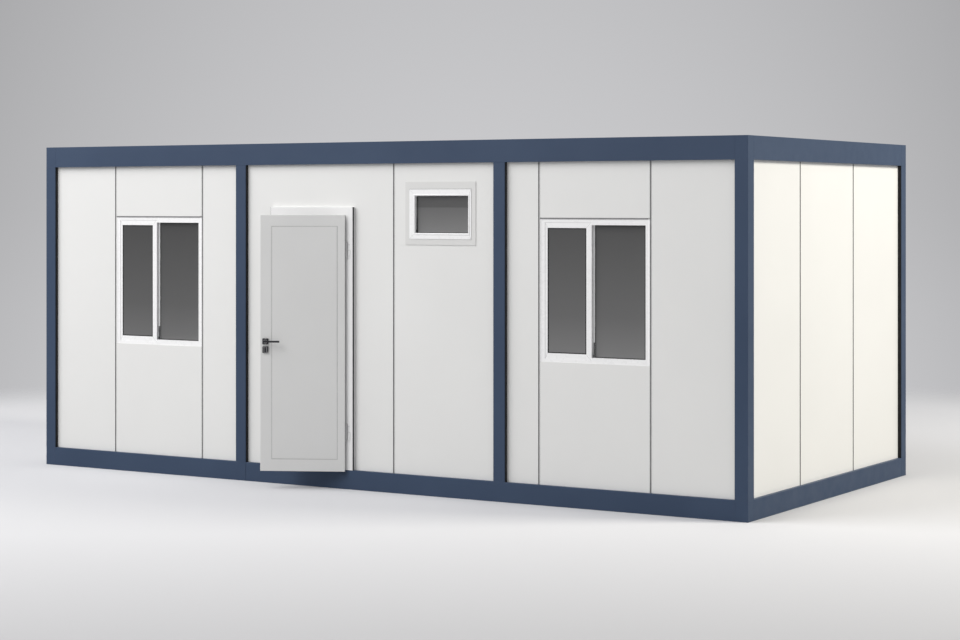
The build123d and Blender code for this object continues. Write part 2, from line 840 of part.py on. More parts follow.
with BuildPart() as lock_plates:
    with BuildSketch(leaf_upright.offset(lip_front)):
        with Locations((lever_x, lever_height)):
            RectangleRounded(rose_size, rose_size, rose_radius)
            Circle(spindle_radius + spindle_clearance, mode=Mode.SUBTRACT)
        with Locations((lever_x, key_height)):
            RectangleRounded(key_plate_width, key_plate_height, rose_radius)
    extrude(amount=rose_thickness)
    with BuildSketch(leaf_upright.offset(body_back)):
        with Locations((lever_x, (lever_height + key_height) / 2)):
            RectangleRounded(inner_plate_width, inner_plate_height, rose_radius)
        with Locations((lever_x, lever_height)):
            Circle(spindle_radius + spindle_clearance, mode=Mode.SUBTRACT)
    extrude(amount=-rose_thickness)
lock_plates.part.label = "lock_plates"
export_step(lock_plates.part, "parts/lock_plates.step")

with BuildPart() as door_lever:
    with BuildSketch(leaf_upright.offset(body_back - lever_neck)):
        with Locations((lever_x, lever_height)):
            Circle(spindle_radius)
    extrude(amount=leaf_lip + leaf_body + 2 * lever_neck)
    for face, inwards in ((lip_front + lever_neck, -1), (body_back - lever_neck, 1)):
        with BuildSketch(leaf_upright.offset(face)):
            with Locations((lever_x - lever_bar_height / 2, lever_height)):
                Rectangle(
                    lever_reach + lever_bar_height / 2, lever_bar_height, align=(Align.MIN, Align.CENTER)
                )
        extrude(amount=inwards * lever_bar_depth)
door_lever.part.label = "door_lever"
export_step(door_lever.part, "parts/door_lever.step")
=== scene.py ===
# %% [markdown]
# # A portable site cabin, dressed for its picture
# The steel frame, the wall panels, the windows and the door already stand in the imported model, at
# their real size and in metres. This lesson never moves them. It gives every one of them a finish,
# and adds the thin things that a solid model leaves out: seals, beads, screws, trims and welds.

# %% Load the frame
import json
from math import radians

import bmesh
import bpy
import numpy as np
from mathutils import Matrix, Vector


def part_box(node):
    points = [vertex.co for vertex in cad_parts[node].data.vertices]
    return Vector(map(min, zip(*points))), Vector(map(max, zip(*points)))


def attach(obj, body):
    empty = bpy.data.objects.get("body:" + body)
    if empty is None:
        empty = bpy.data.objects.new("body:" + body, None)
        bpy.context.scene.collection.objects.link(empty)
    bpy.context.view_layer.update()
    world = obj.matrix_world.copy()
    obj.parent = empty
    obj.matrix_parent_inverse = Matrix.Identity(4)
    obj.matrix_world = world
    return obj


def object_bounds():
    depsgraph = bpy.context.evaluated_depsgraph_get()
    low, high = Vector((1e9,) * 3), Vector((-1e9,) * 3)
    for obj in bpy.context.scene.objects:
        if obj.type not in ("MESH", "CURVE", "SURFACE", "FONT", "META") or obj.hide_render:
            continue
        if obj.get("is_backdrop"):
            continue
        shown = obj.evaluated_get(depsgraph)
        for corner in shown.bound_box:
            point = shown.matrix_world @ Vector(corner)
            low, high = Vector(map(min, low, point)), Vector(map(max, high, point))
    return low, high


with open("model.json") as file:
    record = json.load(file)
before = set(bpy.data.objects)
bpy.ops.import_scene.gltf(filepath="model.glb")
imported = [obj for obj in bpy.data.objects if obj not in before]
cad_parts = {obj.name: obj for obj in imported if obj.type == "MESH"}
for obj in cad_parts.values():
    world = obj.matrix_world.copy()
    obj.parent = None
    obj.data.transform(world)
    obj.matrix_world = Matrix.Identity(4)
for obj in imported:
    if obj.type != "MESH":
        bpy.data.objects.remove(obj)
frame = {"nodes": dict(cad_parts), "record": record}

cad_low, cad_high = (np.array(corner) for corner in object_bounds())
print("cabin, m:", np.round(cad_high - cad_low, 3))

# %% [markdown]
# ## The picture
# A long lens from far away keeps the cabin's edges nearly parallel. The camera stands level, so that
# posts stay upright, and the lens is shifted down instead of being tilted, as on a view camera.

# %% Camera
lens = bpy.data.cameras.new("studio_camera")
lens.lens = 81.22
lens.shift_y = -0.1213
camera = bpy.data.objects.new("studio_camera", lens)
camera.location = (9.3527, -15.1033, 2.1811)
camera.rotation_euler = (radians(90), 0, radians(31.43))
bpy.context.scene.collection.objects.link(camera)
bpy.context.scene.camera = camera
bpy.context.scene.view_settings.view_transform = "Standard"
print("camera, m from the cabin's middle:", round(camera.location.length, 1))

# %% [markdown]
# ## Soft studio light
# One wide lamp stands high on the left and gives the front its slow fall from left to right. A warm
# one faces the end wall. The front lamp is thirteen metres wide, which makes the soft shadows under
# the top rail, where a small one would draw hard edges.

# %% Lamps
def lamp(name, place, aim, power, size, colour):
    """A square area lamp at place, turned so that its own -Z axis points at aim."""
    light = bpy.data.lights.new(name, "AREA")
    light.energy, light.size, light.color = power, size, colour
    holder = bpy.data.objects.new(name, light)
    beam = Vector(aim) - Vector(place)
    holder.location = place
    holder.rotation_euler = beam.to_track_quat("-Z", "Y").to_euler()
    bpy.context.scene.collection.objects.link(holder)
    print(name, "hangs", round(beam.length, 1), "m away")


lamp("front_lamp", (-7.3, -9.7, 11.3), (0, -1.5, 1.3), 2400, 13, (1, 0.99, 0.985))
lamp("end_lamp", (12, 3, 8.5), (3.2, 0, 1.6), 1445, 4, (1, 0.96, 0.868))

# %% [markdown]
# ## Nodes in short
# The world, the floor and every finish are small networks of nodes. Three helpers keep them easy to
# read: one adds a node with its values, one links sockets in pairs, one makes a ramp of greys.

# %% Node helpers
def add_node(tree, kind, operation=None, second=None, **values):
    """Adds a node and sets its operation, its second socket and any socket by name, as in From_Min."""
    made = tree.nodes.new("ShaderNode" + kind)
    if operation:
        made.operation = operation
    if second is not None:
        made.inputs[1].default_value = second
    for socket, value in values.items():
        made.inputs[socket.replace("_", " ")].default_value = value
    return made


def wire(tree, *pairs):
    """Links each pair of sockets: an output, then the input that it feeds."""
    for source, target in pairs:
        tree.links.new(source, target)


def grey_ramp(tree, stops, tint=(1, 1, 1)):
    """A ramp of greys: each stop gives a place from 0 to 1 and the tone there, times the tint."""
    ramp = add_node(tree, "ValToRGB")
    ramp.color_ramp.elements.remove(ramp.color_ramp.elements[1])
    for place, tone in stops:
        stop = ramp.color_ramp.elements.new(place) if place else ramp.color_ramp.elements[0]
        stop.color = (*(tone * share for share in tint), 1)
    return ramp


# %% [markdown]
# ## Room light and backdrop
# A dim blue-white world fills the shadows. The camera must not see it as such: rays that come from
# the camera, or from a mirror or a pane, meet a plain grey that pales a little towards the floor and
# darkens towards both sides.

# %% World
world = bpy.data.worlds.new("studio")
bpy.context.scene.world = world
world.use_nodes = True
sky = world.node_tree
sky.nodes.clear()
turn = camera.rotation_euler.to_matrix()
camera_right, camera_back = turn.col[0].copy(), turn.col[2].copy()
ambient = add_node(sky, "Background", Color=(0.965, 0.975, 1, 1), Strength=0.4)
backdrop = add_node(sky, "Background")
direction = add_node(sky, "TexCoord").outputs["Generated"]
height = add_node(sky, "SeparateXYZ")
horizon = add_node(sky, "MapRange", From_Min=-0.2, From_Max=0.12)
shades = ((0, 0.62), (0.25, 0.7), (0.48, 0.65), (0.62, 0.6), (0.77, 0.573), (0.91, 0.545))
greys = grey_ramp(sky, shades, (0.99, 0.99, 1.015))
sideways = add_node(sky, "VectorMath", "DOT_PRODUCT", camera_right)
spread = add_node(sky, "Math", "ABSOLUTE")
squared = add_node(sky, "Math", "POWER", 2)
falloff = add_node(sky, "MapRange", From_Max=0.0484, To_Min=1, To_Max=0.75)
rays = add_node(sky, "LightPath")
seen = add_node(sky, "Math", "MAXIMUM")
mirrored = add_node(sky, "Math", "MAXIMUM")
either = add_node(sky, "MixShader")
output = add_node(sky, "OutputWorld")
wire(
    sky,
    (direction, height.inputs["Vector"]),
    (height.outputs["Z"], horizon.inputs["Value"]),
    (horizon.outputs["Result"], greys.inputs["Fac"]),
    (greys.outputs["Color"], backdrop.inputs["Color"]),
    (direction, sideways.inputs[0]),
    (sideways.outputs["Value"], spread.inputs[0]),
    (spread.outputs["Value"], squared.inputs[0]),
    (squared.outputs["Value"], falloff.inputs["Value"]),
    (falloff.outputs["Result"], backdrop.inputs["Strength"]),
    (rays.outputs["Is Camera Ray"], seen.inputs[0]),
    (rays.outputs["Is Glossy Ray"], seen.inputs[1]),
    (seen.outputs["Value"], mirrored.inputs[0]),
    (rays.outputs["Is Transmission Ray"], mirrored.inputs[1]),
    (mirrored.outputs["Value"], either.inputs["Fac"]),
    (ambient.outputs["Background"], either.inputs[1]),
    (backdrop.outputs["Background"], either.inputs[2]),
    (either.outputs["Shader"], output.inputs["Surface"]),
)
print("room light", ambient.inputs["Strength"].default_value)

# %% [markdown]
# ## Studio floor
# A pale round floor catches the contact shadow. Seen by the camera, its grey deepens towards the
# viewer, which is painted shade; other rays meet an even grey. Its paint fades to clear towards the
# rim, so that the floor melts into the backdrop without a line.

# %% Floor disc
floor_radius, floor_corners = 14, 96
angles = np.linspace(0, 2 * np.pi, floor_corners + 1)[:-1]
rim = np.stack((np.cos(angles) * floor_radius, np.sin(angles) * floor_radius, 0 * angles), 1)
floor_mesh = bpy.data.meshes.new("studio_floor")
floor_mesh.from_pydata(rim.tolist(), [], [list(range(floor_corners))])
floor = bpy.data.objects.new("studio_floor", floor_mesh)
bpy.context.scene.collection.objects.link(floor)
floor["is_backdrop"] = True
print("floor radius, m:", round(float(rim.max()), 1))

# %% Floor paint
floor_paint = bpy.data.materials.new("studio_floor")
floor_paint.use_nodes = True
floor_mesh.materials.append(floor_paint)
tree = floor_paint.node_tree
paint = tree.nodes["Principled BSDF"]
paint.inputs["Roughness"].default_value = 0.8
place = add_node(tree, "TexCoord").outputs["Object"]
nearness = add_node(tree, "VectorMath", "DOT_PRODUCT", camera_back)
near = add_node(tree, "MapRange", From_Min=-3, From_Max=7)
# painted shade for the camera: the floor's grey deepens towards the viewer
tones = grey_ramp(tree, ((0, 0.73), (0.55, 0.64), (0.65, 0.625), (1, 0.485)), (0.985, 0.99, 1.02))
seen_floor = add_node(tree, "Mix")
seen_floor.data_type = "RGBA"
seen_floor.inputs["A"].default_value = (0.4, 0.4, 0.41, 1)
path = add_node(tree, "LightPath")
length = add_node(tree, "VectorMath", "LENGTH")
fade_start, fade_end = 7, 10
fade = add_node(tree, "MapRange", From_Min=fade_start, From_Max=fade_end)
fade.interpolation_type = "SMOOTHSTEP"
clear = add_node(tree, "BsdfTransparent")
mix = add_node(tree, "MixShader")
wire(
    tree,
    (place, nearness.inputs[0]),
    (nearness.outputs["Value"], near.inputs["Value"]),
    (near.outputs["Result"], tones.inputs["Fac"]),
    (tones.outputs["Color"], seen_floor.inputs["B"]),
    (path.outputs["Is Camera Ray"], seen_floor.inputs["Factor"]),
    (seen_floor.outputs["Result"], paint.inputs["Base Color"]),
    (place, length.inputs[0]),
    (length.outputs["Value"], fade.inputs["Value"]),
    (fade.outputs["Result"], mix.inputs["Fac"]),
    (paint.outputs["BSDF"], mix.inputs[1]),
    (clear.outputs["BSDF"], mix.inputs[2]),
    (mix.outputs["Shader"], tree.nodes["Material Output"].inputs["Surface"]),
)
print("floor fades to clear from", fade_start, "to", fade_end, "m")

# %% [markdown]
# ## Finishes: one base, then each coat
# Real paint, plastic and zinc are never one flat colour. Each finish starts from a shader with its
# main colour and gloss, then gets two things from noise on the object's own position: a slow drift of
# colour and gloss, and a fine relief such as the orange peel of sprayed paint.

# %% The base of a finish
finishes = {}
noise_low, noise_high = 0.3, 0.7


def finish(name, colour, rough, metal=0.0, mirror=0.25):
    """A new finish: returns its node tree, its shader and a node that gives the position in metres."""
    material = bpy.data.materials.new(name)
    material.use_nodes = True
    shader = material.node_tree.nodes["Principled BSDF"]
    shader.inputs["Base Color"].default_value = (*colour, 1)
    shader.inputs["Roughness"].default_value = rough
    shader.inputs["Metallic"].default_value = metal
    shader.inputs["Specular IOR Level"].default_value = mirror
    finishes[name] = material
    return material.node_tree, shader, add_node(material.node_tree, "TexCoord")


def noise(tree, where, scale, stretch=(1, 1, 1), detail=2):
    """Soft noise on the object's position; stretch divides its grain along each axis."""
    spread = add_node(tree, "Mapping", Scale=stretch)
    grain = add_node(tree, "TexNoise", Scale=scale, Detail=detail)
    wire(
        tree,
        (where.outputs["Object"], spread.inputs["Vector"]),
        (spread.outputs["Vector"], grain.inputs["Vector"]),
    )
    return grain.outputs["Fac"]


def vary(tree, value, socket, low, high):
    """Drives a number or a colour from low to high, over the stretch where most noise lies."""
    if isinstance(low, (int, float)):
        span = add_node(tree, "MapRange", From_Min=noise_low, From_Max=noise_high, To_Min=low, To_Max=high)
        wire(tree, (value, span.inputs["Value"]), (span.outputs["Result"], socket))
    else:
        span = add_node(tree, "ValToRGB")
        for stop, place, colour in zip(span.color_ramp.elements, (noise_low, noise_high), (low, high)):
            stop.position = place
            stop.color = (*colour, 1)
        wire(tree, (value, span.inputs["Fac"]), (span.outputs["Color"], socket))


def relief(tree, shader, *layers):
    """Bumps laid over one another: each layer is a height value, its depth in metres and a strength."""
    below = None
    for value, depth, strength in layers:
        bump = add_node(tree, "Bump", Distance=depth, Strength=strength)
        tree.links.new(value, bump.inputs["Height"])
        if below is not None:
            tree.links.new(below, bump.inputs["Normal"])
        below = bump.outputs["Normal"]
    tree.links.new(below, shader.inputs["Normal"])


# %% [markdown]
# ### Navy frame paint and white wall sheet
# The frame is rolled steel, shot-blasted and sprayed with satin enamel: a slight drift in colour and a
# coarse orange peel. The panels are factory-coated sheet, much smoother. Thin sheet is never quite
# flat, so it also gets a slow waviness that bends what it reflects.

# %% Frame and wall paint
tree, shader, where = finish("frame_steel", (0.0415, 0.066, 0.117), 0.45)
drift = noise(tree, where, 1.7)
vary(tree, drift, shader.inputs["Base Color"], (0.039, 0.0625, 0.112), (0.044, 0.0695, 0.122))
vary(tree, noise(tree, where, 9), shader.inputs["Roughness"], 0.4, 0.52)
relief(tree, shader, (noise(tree, where, 260), 0.0004, 0.25), (noise(tree, where, 14), 0.002, 0.06))

for name, tone in (("wall_panel", 0.8), ("trim_paint", 0.72)):
    tree, shader, where = finish(name, (tone, tone, tone * 0.982), 0.4)
    darker, paler = [(k, k, k * 0.982) for k in (tone * 0.988, tone * 1.012)]
    vary(tree, noise(tree, where, 1.1), shader.inputs["Base Color"], darker, paler)
    vary(tree, noise(tree, where, 3), shader.inputs["Roughness"], 0.36, 0.44)
    relief(tree, shader, (noise(tree, where, 420), 0.0002, 0.18), (noise(tree, where, 2.2), 0.004, 0.05))
print(len(finishes), "finishes")

# %% [markdown]
# ### Door paints, plastic and glass
# The door and its frame are brushed by hand on site more often than the rest, so their coat shows fine
# upright strokes. The windows are extruded plastic with faint lines along each length. The glass is
# opaque here, because the room behind a real pane reads as one dark tone; that tone is painted light and
# painted reflection, paler downwards and to the right. In the small pane the painted tone steps where
# the ceiling's edge would show.

# %% Door paint, window plastic and glass
for name, tone, warmth in (("door_frame_paint", 0.84, 0.995), ("door_paint", 0.81, 0.985)):
    tree, shader, where = finish(name, (tone, tone, tone * warmth), 0.38)
    darker, paler = [(k, k, k * warmth) for k in (tone * 0.985, tone * 1.012)]
    vary(tree, noise(tree, where, 1.5), shader.inputs["Base Color"], darker, paler)
    strokes = noise(tree, where, 160, (1, 1, 0.03))
    vary(tree, strokes, shader.inputs["Roughness"], 0.34, 0.44)
    relief(tree, shader, (strokes, 0.0003, 0.12), (noise(tree, where, 380), 0.0002, 0.15))

tree, shader, where = finish("window_plastic", (0.93, 0.93, 0.93), 0.3, mirror=0.5)
darker, paler = (0.922, 0.922, 0.922), (0.938, 0.938, 0.938)
vary(tree, noise(tree, where, 2), shader.inputs["Base Color"], darker, paler)
vary(tree, noise(tree, where, 30), shader.inputs["Roughness"], 0.24, 0.34)
relief(tree, shader, (noise(tree, where, 90, (0.2, 1, 0.2)), 0.0003, 0.08))


def glass_with_painted_light(name, node, *stops):
    """Dark glass with painted light, paler to the right; each stop gives a share of the pane's height and the
    painted tone there.
    """
    tree, shader, where = finish(name, (0.1, 0.1, 0.1), 0.06, mirror=0.5)
    low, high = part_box(node)
    split = add_node(tree, "SeparateXYZ")
    rise = add_node(tree, "MapRange", From_Min=low.z, From_Max=high.z)
    tone = grey_ramp(tree, stops)
    paling = add_node(tree, "MapRange", From_Min=-2, From_Max=2, To_Min=0.88, To_Max=1.16)
    product = add_node(tree, "VectorMath", "SCALE")
    wire(
        tree,
        (where.outputs["Object"], split.inputs["Vector"]),
        (split.outputs["Z"], rise.inputs["Value"]),
        (rise.outputs["Result"], tone.inputs["Fac"]),
        (split.outputs["X"], paling.inputs["Value"]),
        (tone.outputs["Color"], product.inputs[0]),
        (paling.outputs["Result"], product.inputs["Scale"]),
        (product.outputs["Vector"], shader.inputs["Base Color"]),
    )
    vary(tree, noise(tree, where, 6), shader.inputs["Roughness"], 0.04, 0.09)
    relief(tree, shader, (noise(tree, where, 4), 0.002, 0.05))


# both panes: painted reflection of the room, paler downwards, and painted light that pales to the right
glass_with_painted_light("window_glass", "window_left_panes", (0, 0.165), (0.3, 0.115), (1, 0.07))
small_tones = ((0, 0.19), (0.67, 0.128), (0.69, 0.09), (1, 0.09))
glass_with_painted_light("small_window_glass", "small_window_pane", *small_tones)
print(len(finishes), "finishes")

# %% [markdown]
# ### Zinc, boards and fittings
# Hot-dip zinc freezes into flat crystals, called spangle: cells that each reflect a little
# differently. The deck is sealed plywood with a long grain, the ceiling a matt board. A hinge's barrel is
# bare steel, but its wing was painted with the frame. The lever is powder-coated with a fine pebble.

# %% Other finishes
tree, shader, where = finish("galvanised_steel", (0.45, 0.46, 0.47), 0.6, metal=0.6)
crystals = add_node(tree, "TexVoronoi", Scale=80)
cell = add_node(tree, "SeparateColor")
wire(
    tree,
    (where.outputs["Object"], crystals.inputs["Vector"]),
    (crystals.outputs["Color"], cell.inputs["Color"]),
)
vary(tree, cell.outputs["Red"], shader.inputs["Base Color"], (0.425, 0.435, 0.45), (0.48, 0.49, 0.5))
vary(tree, cell.outputs["Green"], shader.inputs["Roughness"], 0.54, 0.68)
relief(tree, shader, (noise(tree, where, 120), 0.0003, 0.1))

tree, shader, where = finish("floor_board", (0.42, 0.36, 0.29), 0.55)
grain = noise(tree, where, 26, (0.08, 1, 1), 6)
vary(tree, grain, shader.inputs["Base Color"], (0.34, 0.28, 0.21), (0.49, 0.42, 0.34))
vary(tree, grain, shader.inputs["Roughness"], 0.48, 0.62)
relief(tree, shader, (grain, 0.0006, 0.2))

tree, shader, where = finish("ceiling_board", (0.8, 0.8, 0.78), 0.85)
darker, paler = (0.785, 0.785, 0.765), (0.81, 0.81, 0.79)
vary(tree, noise(tree, where, 2), shader.inputs["Base Color"], darker, paler)
relief(tree, shader, (noise(tree, where, 220, detail=4), 0.0008, 0.3))

plain_metals = (
    ("zinc_plate", (0.46, 0.46, 0.46), (0.56, 0.56, 0.55), 0.36, 0.9, 700),
    ("lever_metal", (0.033, 0.033, 0.037), (0.043, 0.043, 0.048), 0.42, 0.3, 900),
    ("aluminium", (0.60, 0.605, 0.61), (0.68, 0.68, 0.685), 0.38, 1.0, 500),
)
for name, darker, paler, rough, metal, fineness in plain_metals:
    tree, shader, where = finish(name, darker, rough, metal, 0.4)
    vary(tree, noise(tree, where, 40), shader.inputs["Base Color"], darker, paler)
    vary(tree, noise(tree, where, 90), shader.inputs["Roughness"], rough - 0.06, rough + 0.08)
    relief(tree, shader, (noise(tree, where, fineness), 0.0002, 0.25))

tree, shader, where = finish("hinge_steel", (0.6, 0.6, 0.6), 0.4, 0.2, 0.4)
barrel_width = 0.0165
split = add_node(tree, "SeparateXYZ")
wing = add_node(tree, "Math", "GREATER_THAN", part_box("jamb_hinges")[0].x + barrel_width)
wire(tree, (where.outputs["Object"], split.inputs["Vector"]), (split.outputs["X"], wing.inputs[0]))
vary(tree, wing.outputs["Value"], shader.inputs["Base Color"], (0.5, 0.5, 0.5), (0.8, 0.8, 0.795))
vary(tree, noise(tree, where, 90), shader.inputs["Roughness"], 0.34, 0.46)
relief(tree, shader, (noise(tree, where, 500), 0.0002, 0.2))

soft = (
    ("black_rubber", (0.012, 0.012, 0.013), (0.02, 0.02, 0.021)),
    ("grey_rubber", (0.19, 0.19, 0.195), (0.24, 0.24, 0.245)),
    ("pale_rubber", (0.56, 0.56, 0.56), (0.63, 0.63, 0.625)),
    ("sealant", (0.58, 0.58, 0.57), (0.63, 0.63, 0.62)),
    ("mastic", (0.78, 0.78, 0.77), (0.82, 0.82, 0.81)),
)
for name, darker, paler in soft:
    tree, shader, where = finish(name, darker, 0.65)
    vary(tree, noise(tree, where, 25), shader.inputs["Base Color"], darker, paler)
    vary(tree, noise(tree, where, 60), shader.inputs["Roughness"], 0.58, 0.74)
    relief(tree, shader, (noise(tree, where, 450), 0.0002, 0.2))
print(len(finishes), "finishes")

# %% [markdown]
# ### Painting the imported solids
# Every solid names the material slot it takes, so one loop can dress them all. The small pane has a
# painted reflection of its own, because it hangs higher and mirrors another part of the room. The plate
# round it is a shade greyer than the wall.

# %% Paint the solids
own = {"small_window_pane": "small_window_glass", "small_window_trim": "trim_paint"}
for part in frame["record"]["subparts"]:
    node = frame["nodes"][part["node"]]
    node.data.materials.clear()
    node.data.materials.append(finishes[own.get(part["node"], part["material_slot"])])

# %% [markdown]
# ## Shapes from arrays
# All added pieces are made the same way: a profile is carried along a path, and each stop of the path
# gives one section. The points of all sections form one array, and quads join each section to the
# next. That is how rubber seals, trims and beads are made too: pressed through a die, then cut.

# %% Carry a profile along a path
def carry(path, side, face, profile, loop=False):
    """Section k is path[k] + a * side[k] + b * face[k] for each point (a, b) of the profile."""
    path, side, face, profile = (np.array(values, float) for values in (path, side, face, profile))
    side = np.broadcast_to(side, path.shape)
    face = np.broadcast_to(face, path.shape)
    across, out = profile[None, :, :1], profile[None, :, 1:]
    return quads(path[:, None] + across * side[:, None] + out * face[:, None], loop)


def quads(spots, loop=False):
    """Faces of an array of sections: closed round each section, capped at both ends or looped."""
    rows, count = spots.shape[:2]
    index = np.arange(rows * count).reshape(rows, count)
    caps = [] if loop else [index[0].tolist(), index[-1].tolist()]
    index = np.concatenate((index, index[:, :1]), 1)
    if loop:
        index = np.concatenate((index, index[:1]), 0)
    faces = np.stack((index[:-1, :-1], index[:-1, 1:], index[1:, 1:], index[1:, :-1]), -1)
    return spots.reshape(-1, 3), faces.reshape(-1, 4).tolist() + caps


def piece(name, shells, coat, body="cabin", angle=35):
    """Joins shells of points and faces into one object, shades it, paints it and lets it ride a body."""
    points, faces, start = [], [], 0
    for spots, sides in shells:
        points.append(spots)
        faces += [[start + corner for corner in side] for side in sides]
        start += len(spots)
    mesh = bpy.data.meshes.new(name)
    mesh.from_pydata(np.concatenate(points).tolist(), [], faces)
    work = bmesh.new()
    work.from_mesh(mesh)
    bmesh.ops.recalc_face_normals(work, faces=work.faces)
    work.to_mesh(mesh)
    work.free()
    mesh.shade_smooth()
    mesh.set_sharp_from_angle(angle=radians(angle))
    mesh.materials.append(finishes[coat])
    thing = bpy.data.objects.new(name, mesh)
    bpy.context.scene.collection.objects.link(thing)
    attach(thing, body)
    print(f"{name}: {len(shells)} shapes, {len(faces)} faces")


# %% [markdown]
# ## Finding things on the walls
# Positions are measured along a wall from its left corner as seen from outside, up from the ground
# and out from the panels' skin. The joints are then read off the panels: wherever two skins leave a
# narrow gap between them, there is a groove. Nothing is typed in twice.

# %% Walls and joints
walls = {
    "front": ((cad_low[0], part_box("front_plain_panels")[0].y), (1, 0), (0, -1)),
    "right": ((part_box("right_end_panels")[1].x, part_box("corner_posts")[0].y), (0, 1), (1, 0)),
    "back": ((cad_high[0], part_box("back_panels")[1].y), (-1, 0), (0, 1)),
    "left": ((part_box("left_end_panels")[0].x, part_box("corner_posts")[1].y), (0, -1), (-1, 0)),
}
front_panels = ("front_", "door_side", "small_window_panel")
panel_nodes = {
    "front": [name for name in frame["nodes"] if name.startswith(front_panels)],
    "right": ["right_end_panels"],
    "back": ["back_panels"],
    "left": ["left_end_panels"],
}


def on_wall(side, along, up, out):
    """Points on a wall: along it from its left corner, up from the ground, out from its skin."""
    corner, run, outward = (np.array(value, float) for value in walls[side])
    along, up, out = np.broadcast_arrays(*(np.array(value, float) for value in (along, up, out)))
    flat = corner + along[..., None] * run + out[..., None] * outward
    return np.concatenate((flat, up[..., None]), -1)


def points(node):
    """The corner points of a node, as an array."""
    return np.array([vertex.co for vertex in frame["nodes"][node].data.vertices])


def skin_edges(side):
    """Sorted places along a wall where a panel's outer skin starts or ends."""
    corner, run, outward = (np.array(value, float) for value in walls[side])
    found = []
    for node in panel_nodes[side]:
        flat = points(node)[:, :2] - corner
        found.append((flat @ run)[np.abs(flat @ outward) < 1e-4])
    return np.unique(np.round(np.concatenate(found), 4))


def gaps(places, least, most):
    """Which of the sorted places has a gap after it that is wider than least and narrower than most."""
    apart = np.diff(places)
    return np.flatnonzero((apart > least) & (apart < most))


groove_widths, post_widths = (0.01, 0.03), (0.09, 0.11)
edges = {side: skin_edges(side) for side in walls}
joints = {}
for side, places in edges.items():
    grooves = gaps(places, *groove_widths)
    joints[side] = (places[grooves + 1] + places[grooves]) / 2
wall_foot, wall_head = (corner.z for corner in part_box("front_plain_panels"))
for side in walls:
    print(side, "joints at", np.round(joints[side], 3))

# %% [markdown]
# ### Joint seals
# Insulated panels meet with a groove between their skins. A channel of two rubbers is pressed into it
# from outside: pale at the bottom, with a thin black lip up each wall, which is painted shade for the
# shadow on the groove's walls. From the right the near lip covers part of the pale bottom, so a joint
# reads as a dark line with a soft edge.

# %% Joint seals
groove, lip_thickness, lip_outs = 0.016, 0.0005, (-0.0062, -0.0004)
bottom = [(-0.0075, -0.0099), (-0.0075, -0.006), (0.0075, -0.006), (0.0075, -0.0099)]
lips = []
for way in (-1, 1):
    wall, free = way * groove / 2, way * (groove / 2 - lip_thickness)
    lips.append([(wall, out) for out in lip_outs] + [(free, out) for out in lip_outs[::-1]])
beds, edgings = [], []
for side, places in joints.items():
    run, outward = (np.array((*walls[side][k], 0)) for k in (1, 2))
    for along in places:
        path = on_wall(side, along, (wall_foot, wall_head), 0)
        beds.append(carry(path, run, outward, bottom))
        edgings += [carry(path, run, outward, lip) for lip in lips]
piece("joint_seals", beds, "pale_rubber")
# black lips: painted shade on the walls of each groove
piece("joint_shade_lips", edgings, "black_rubber")

# %% [markdown]
# ### Painted shade beside the posts
# The panels stand back behind the frame, and a black strip stands in the corner between each panel and
# the post beside it. It is painted shade: it covers nearly the whole depth of the recess, which is why
# the sides of the posts look black from the right. A plain flat strip is enough, since its edge is all
# that shows.

# %% Post shade strips
strip = [(0, 0.0002), (0.002, 0.0002), (0.002, 0.025), (0.0012, 0.027), (0, 0.027)]
uprights = []
for side, places in edges.items():
    run, outward = (np.array((*walls[side][k], 0)) for k in (1, 2))
    posts = gaps(places, *post_widths)
    starts = np.append(places[posts + 1], places[0])
    ends = np.append(places[posts], places[-1])
    for along, way in [(place, 1) for place in starts] + [(place, -1) for place in ends]:
        uprights.append(carry(on_wall(side, along, (wall_foot, wall_head), 0), way * run, outward, strip))
# black strips: painted shade on the posts' sides
piece("post_shade_strips", uprights, "black_rubber")

# %% [markdown]
# ## Window details
# A pane is held by a black gasket that runs round it without a break. The same helper can draw it on
# any window: a profile carried round an upright rectangle, with the corners mitred because each
# corner's section is set out along the diagonal.

# %% Frames and rings on the front wall
front_run, front_up, front_out = np.array(((1, 0, 0), (0, 0, 1), (0, -1, 0)), float)
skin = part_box("front_plain_panels")[0].y
inward_run, inward_up = (np.array(signs)[:, None] for signs in ((1, -1, -1, 1), (1, 1, -1, -1)))


def ring(low, high, y, profile):
    """A profile carried round an upright rectangle of the front wall: inwards from its edge, then out."""
    corners = [(low[0], y, low[2]), (high[0], y, low[2]), (high[0], y, high[2]), (low[0], y, high[2])]
    return carry(corners, inward_run * front_run + inward_up * front_up, front_out, profile, loop=True)


def solids(node):
    """The lowest and highest corners of each separate solid of a node, from left to right."""
    mesh = frame["nodes"][node].data
    spots, same = np.unique(np.round(points(node), 5), axis=0, return_inverse=True)
    ends = same.reshape(-1)[np.array([edge.vertices for edge in mesh.edges])]
    group = np.arange(len(spots))
    for _ in range(len(spots)):
        least = group.copy()
        np.minimum.at(least, ends[:, 0], group[ends[:, 1]])
        np.minimum.at(least, ends[:, 1], group[ends[:, 0]])
        if (least == group).all():
            break
        group = least
    boxes = [(spots[group == k].min(0), spots[group == k].max(0)) for k in np.unique(group)]
    return sorted(boxes, key=lambda box: tuple(box[0]))


tuck = 0.008  # a pane's hidden edge
loops = []
gasket_widths = {"window_left_panes": 0.007, "window_right_panes": 0.006, "small_window_pane": 0.004}
for node, wide in gasket_widths.items():
    gasket = [(0, 0), (wide, 0), (wide, 0.0012), (0.0015, 0.0018), (0, 0.0018)]
    for low, high in solids(node):
        low, high = low + (tuck, 0, tuck), high - (tuck, 0, tuck)
        loops.append(ring(low, high, low[1], gasket))
        loops.append(ring(low, high, high[1], [(inwards, -out) for inwards, out in gasket]))
piece("window_gaskets", loops, "black_rubber")

# %% [markdown]
# ### The small window's bead, seal and latch
# A half-round bead is glued round the small opening, and its crown catches the light. A grey seal
# closes the corner above the frame. A slim latch stands at the lower left of the pane, like the ones
# of the sliding windows: a tall bar with a shorter foot that stands out further.

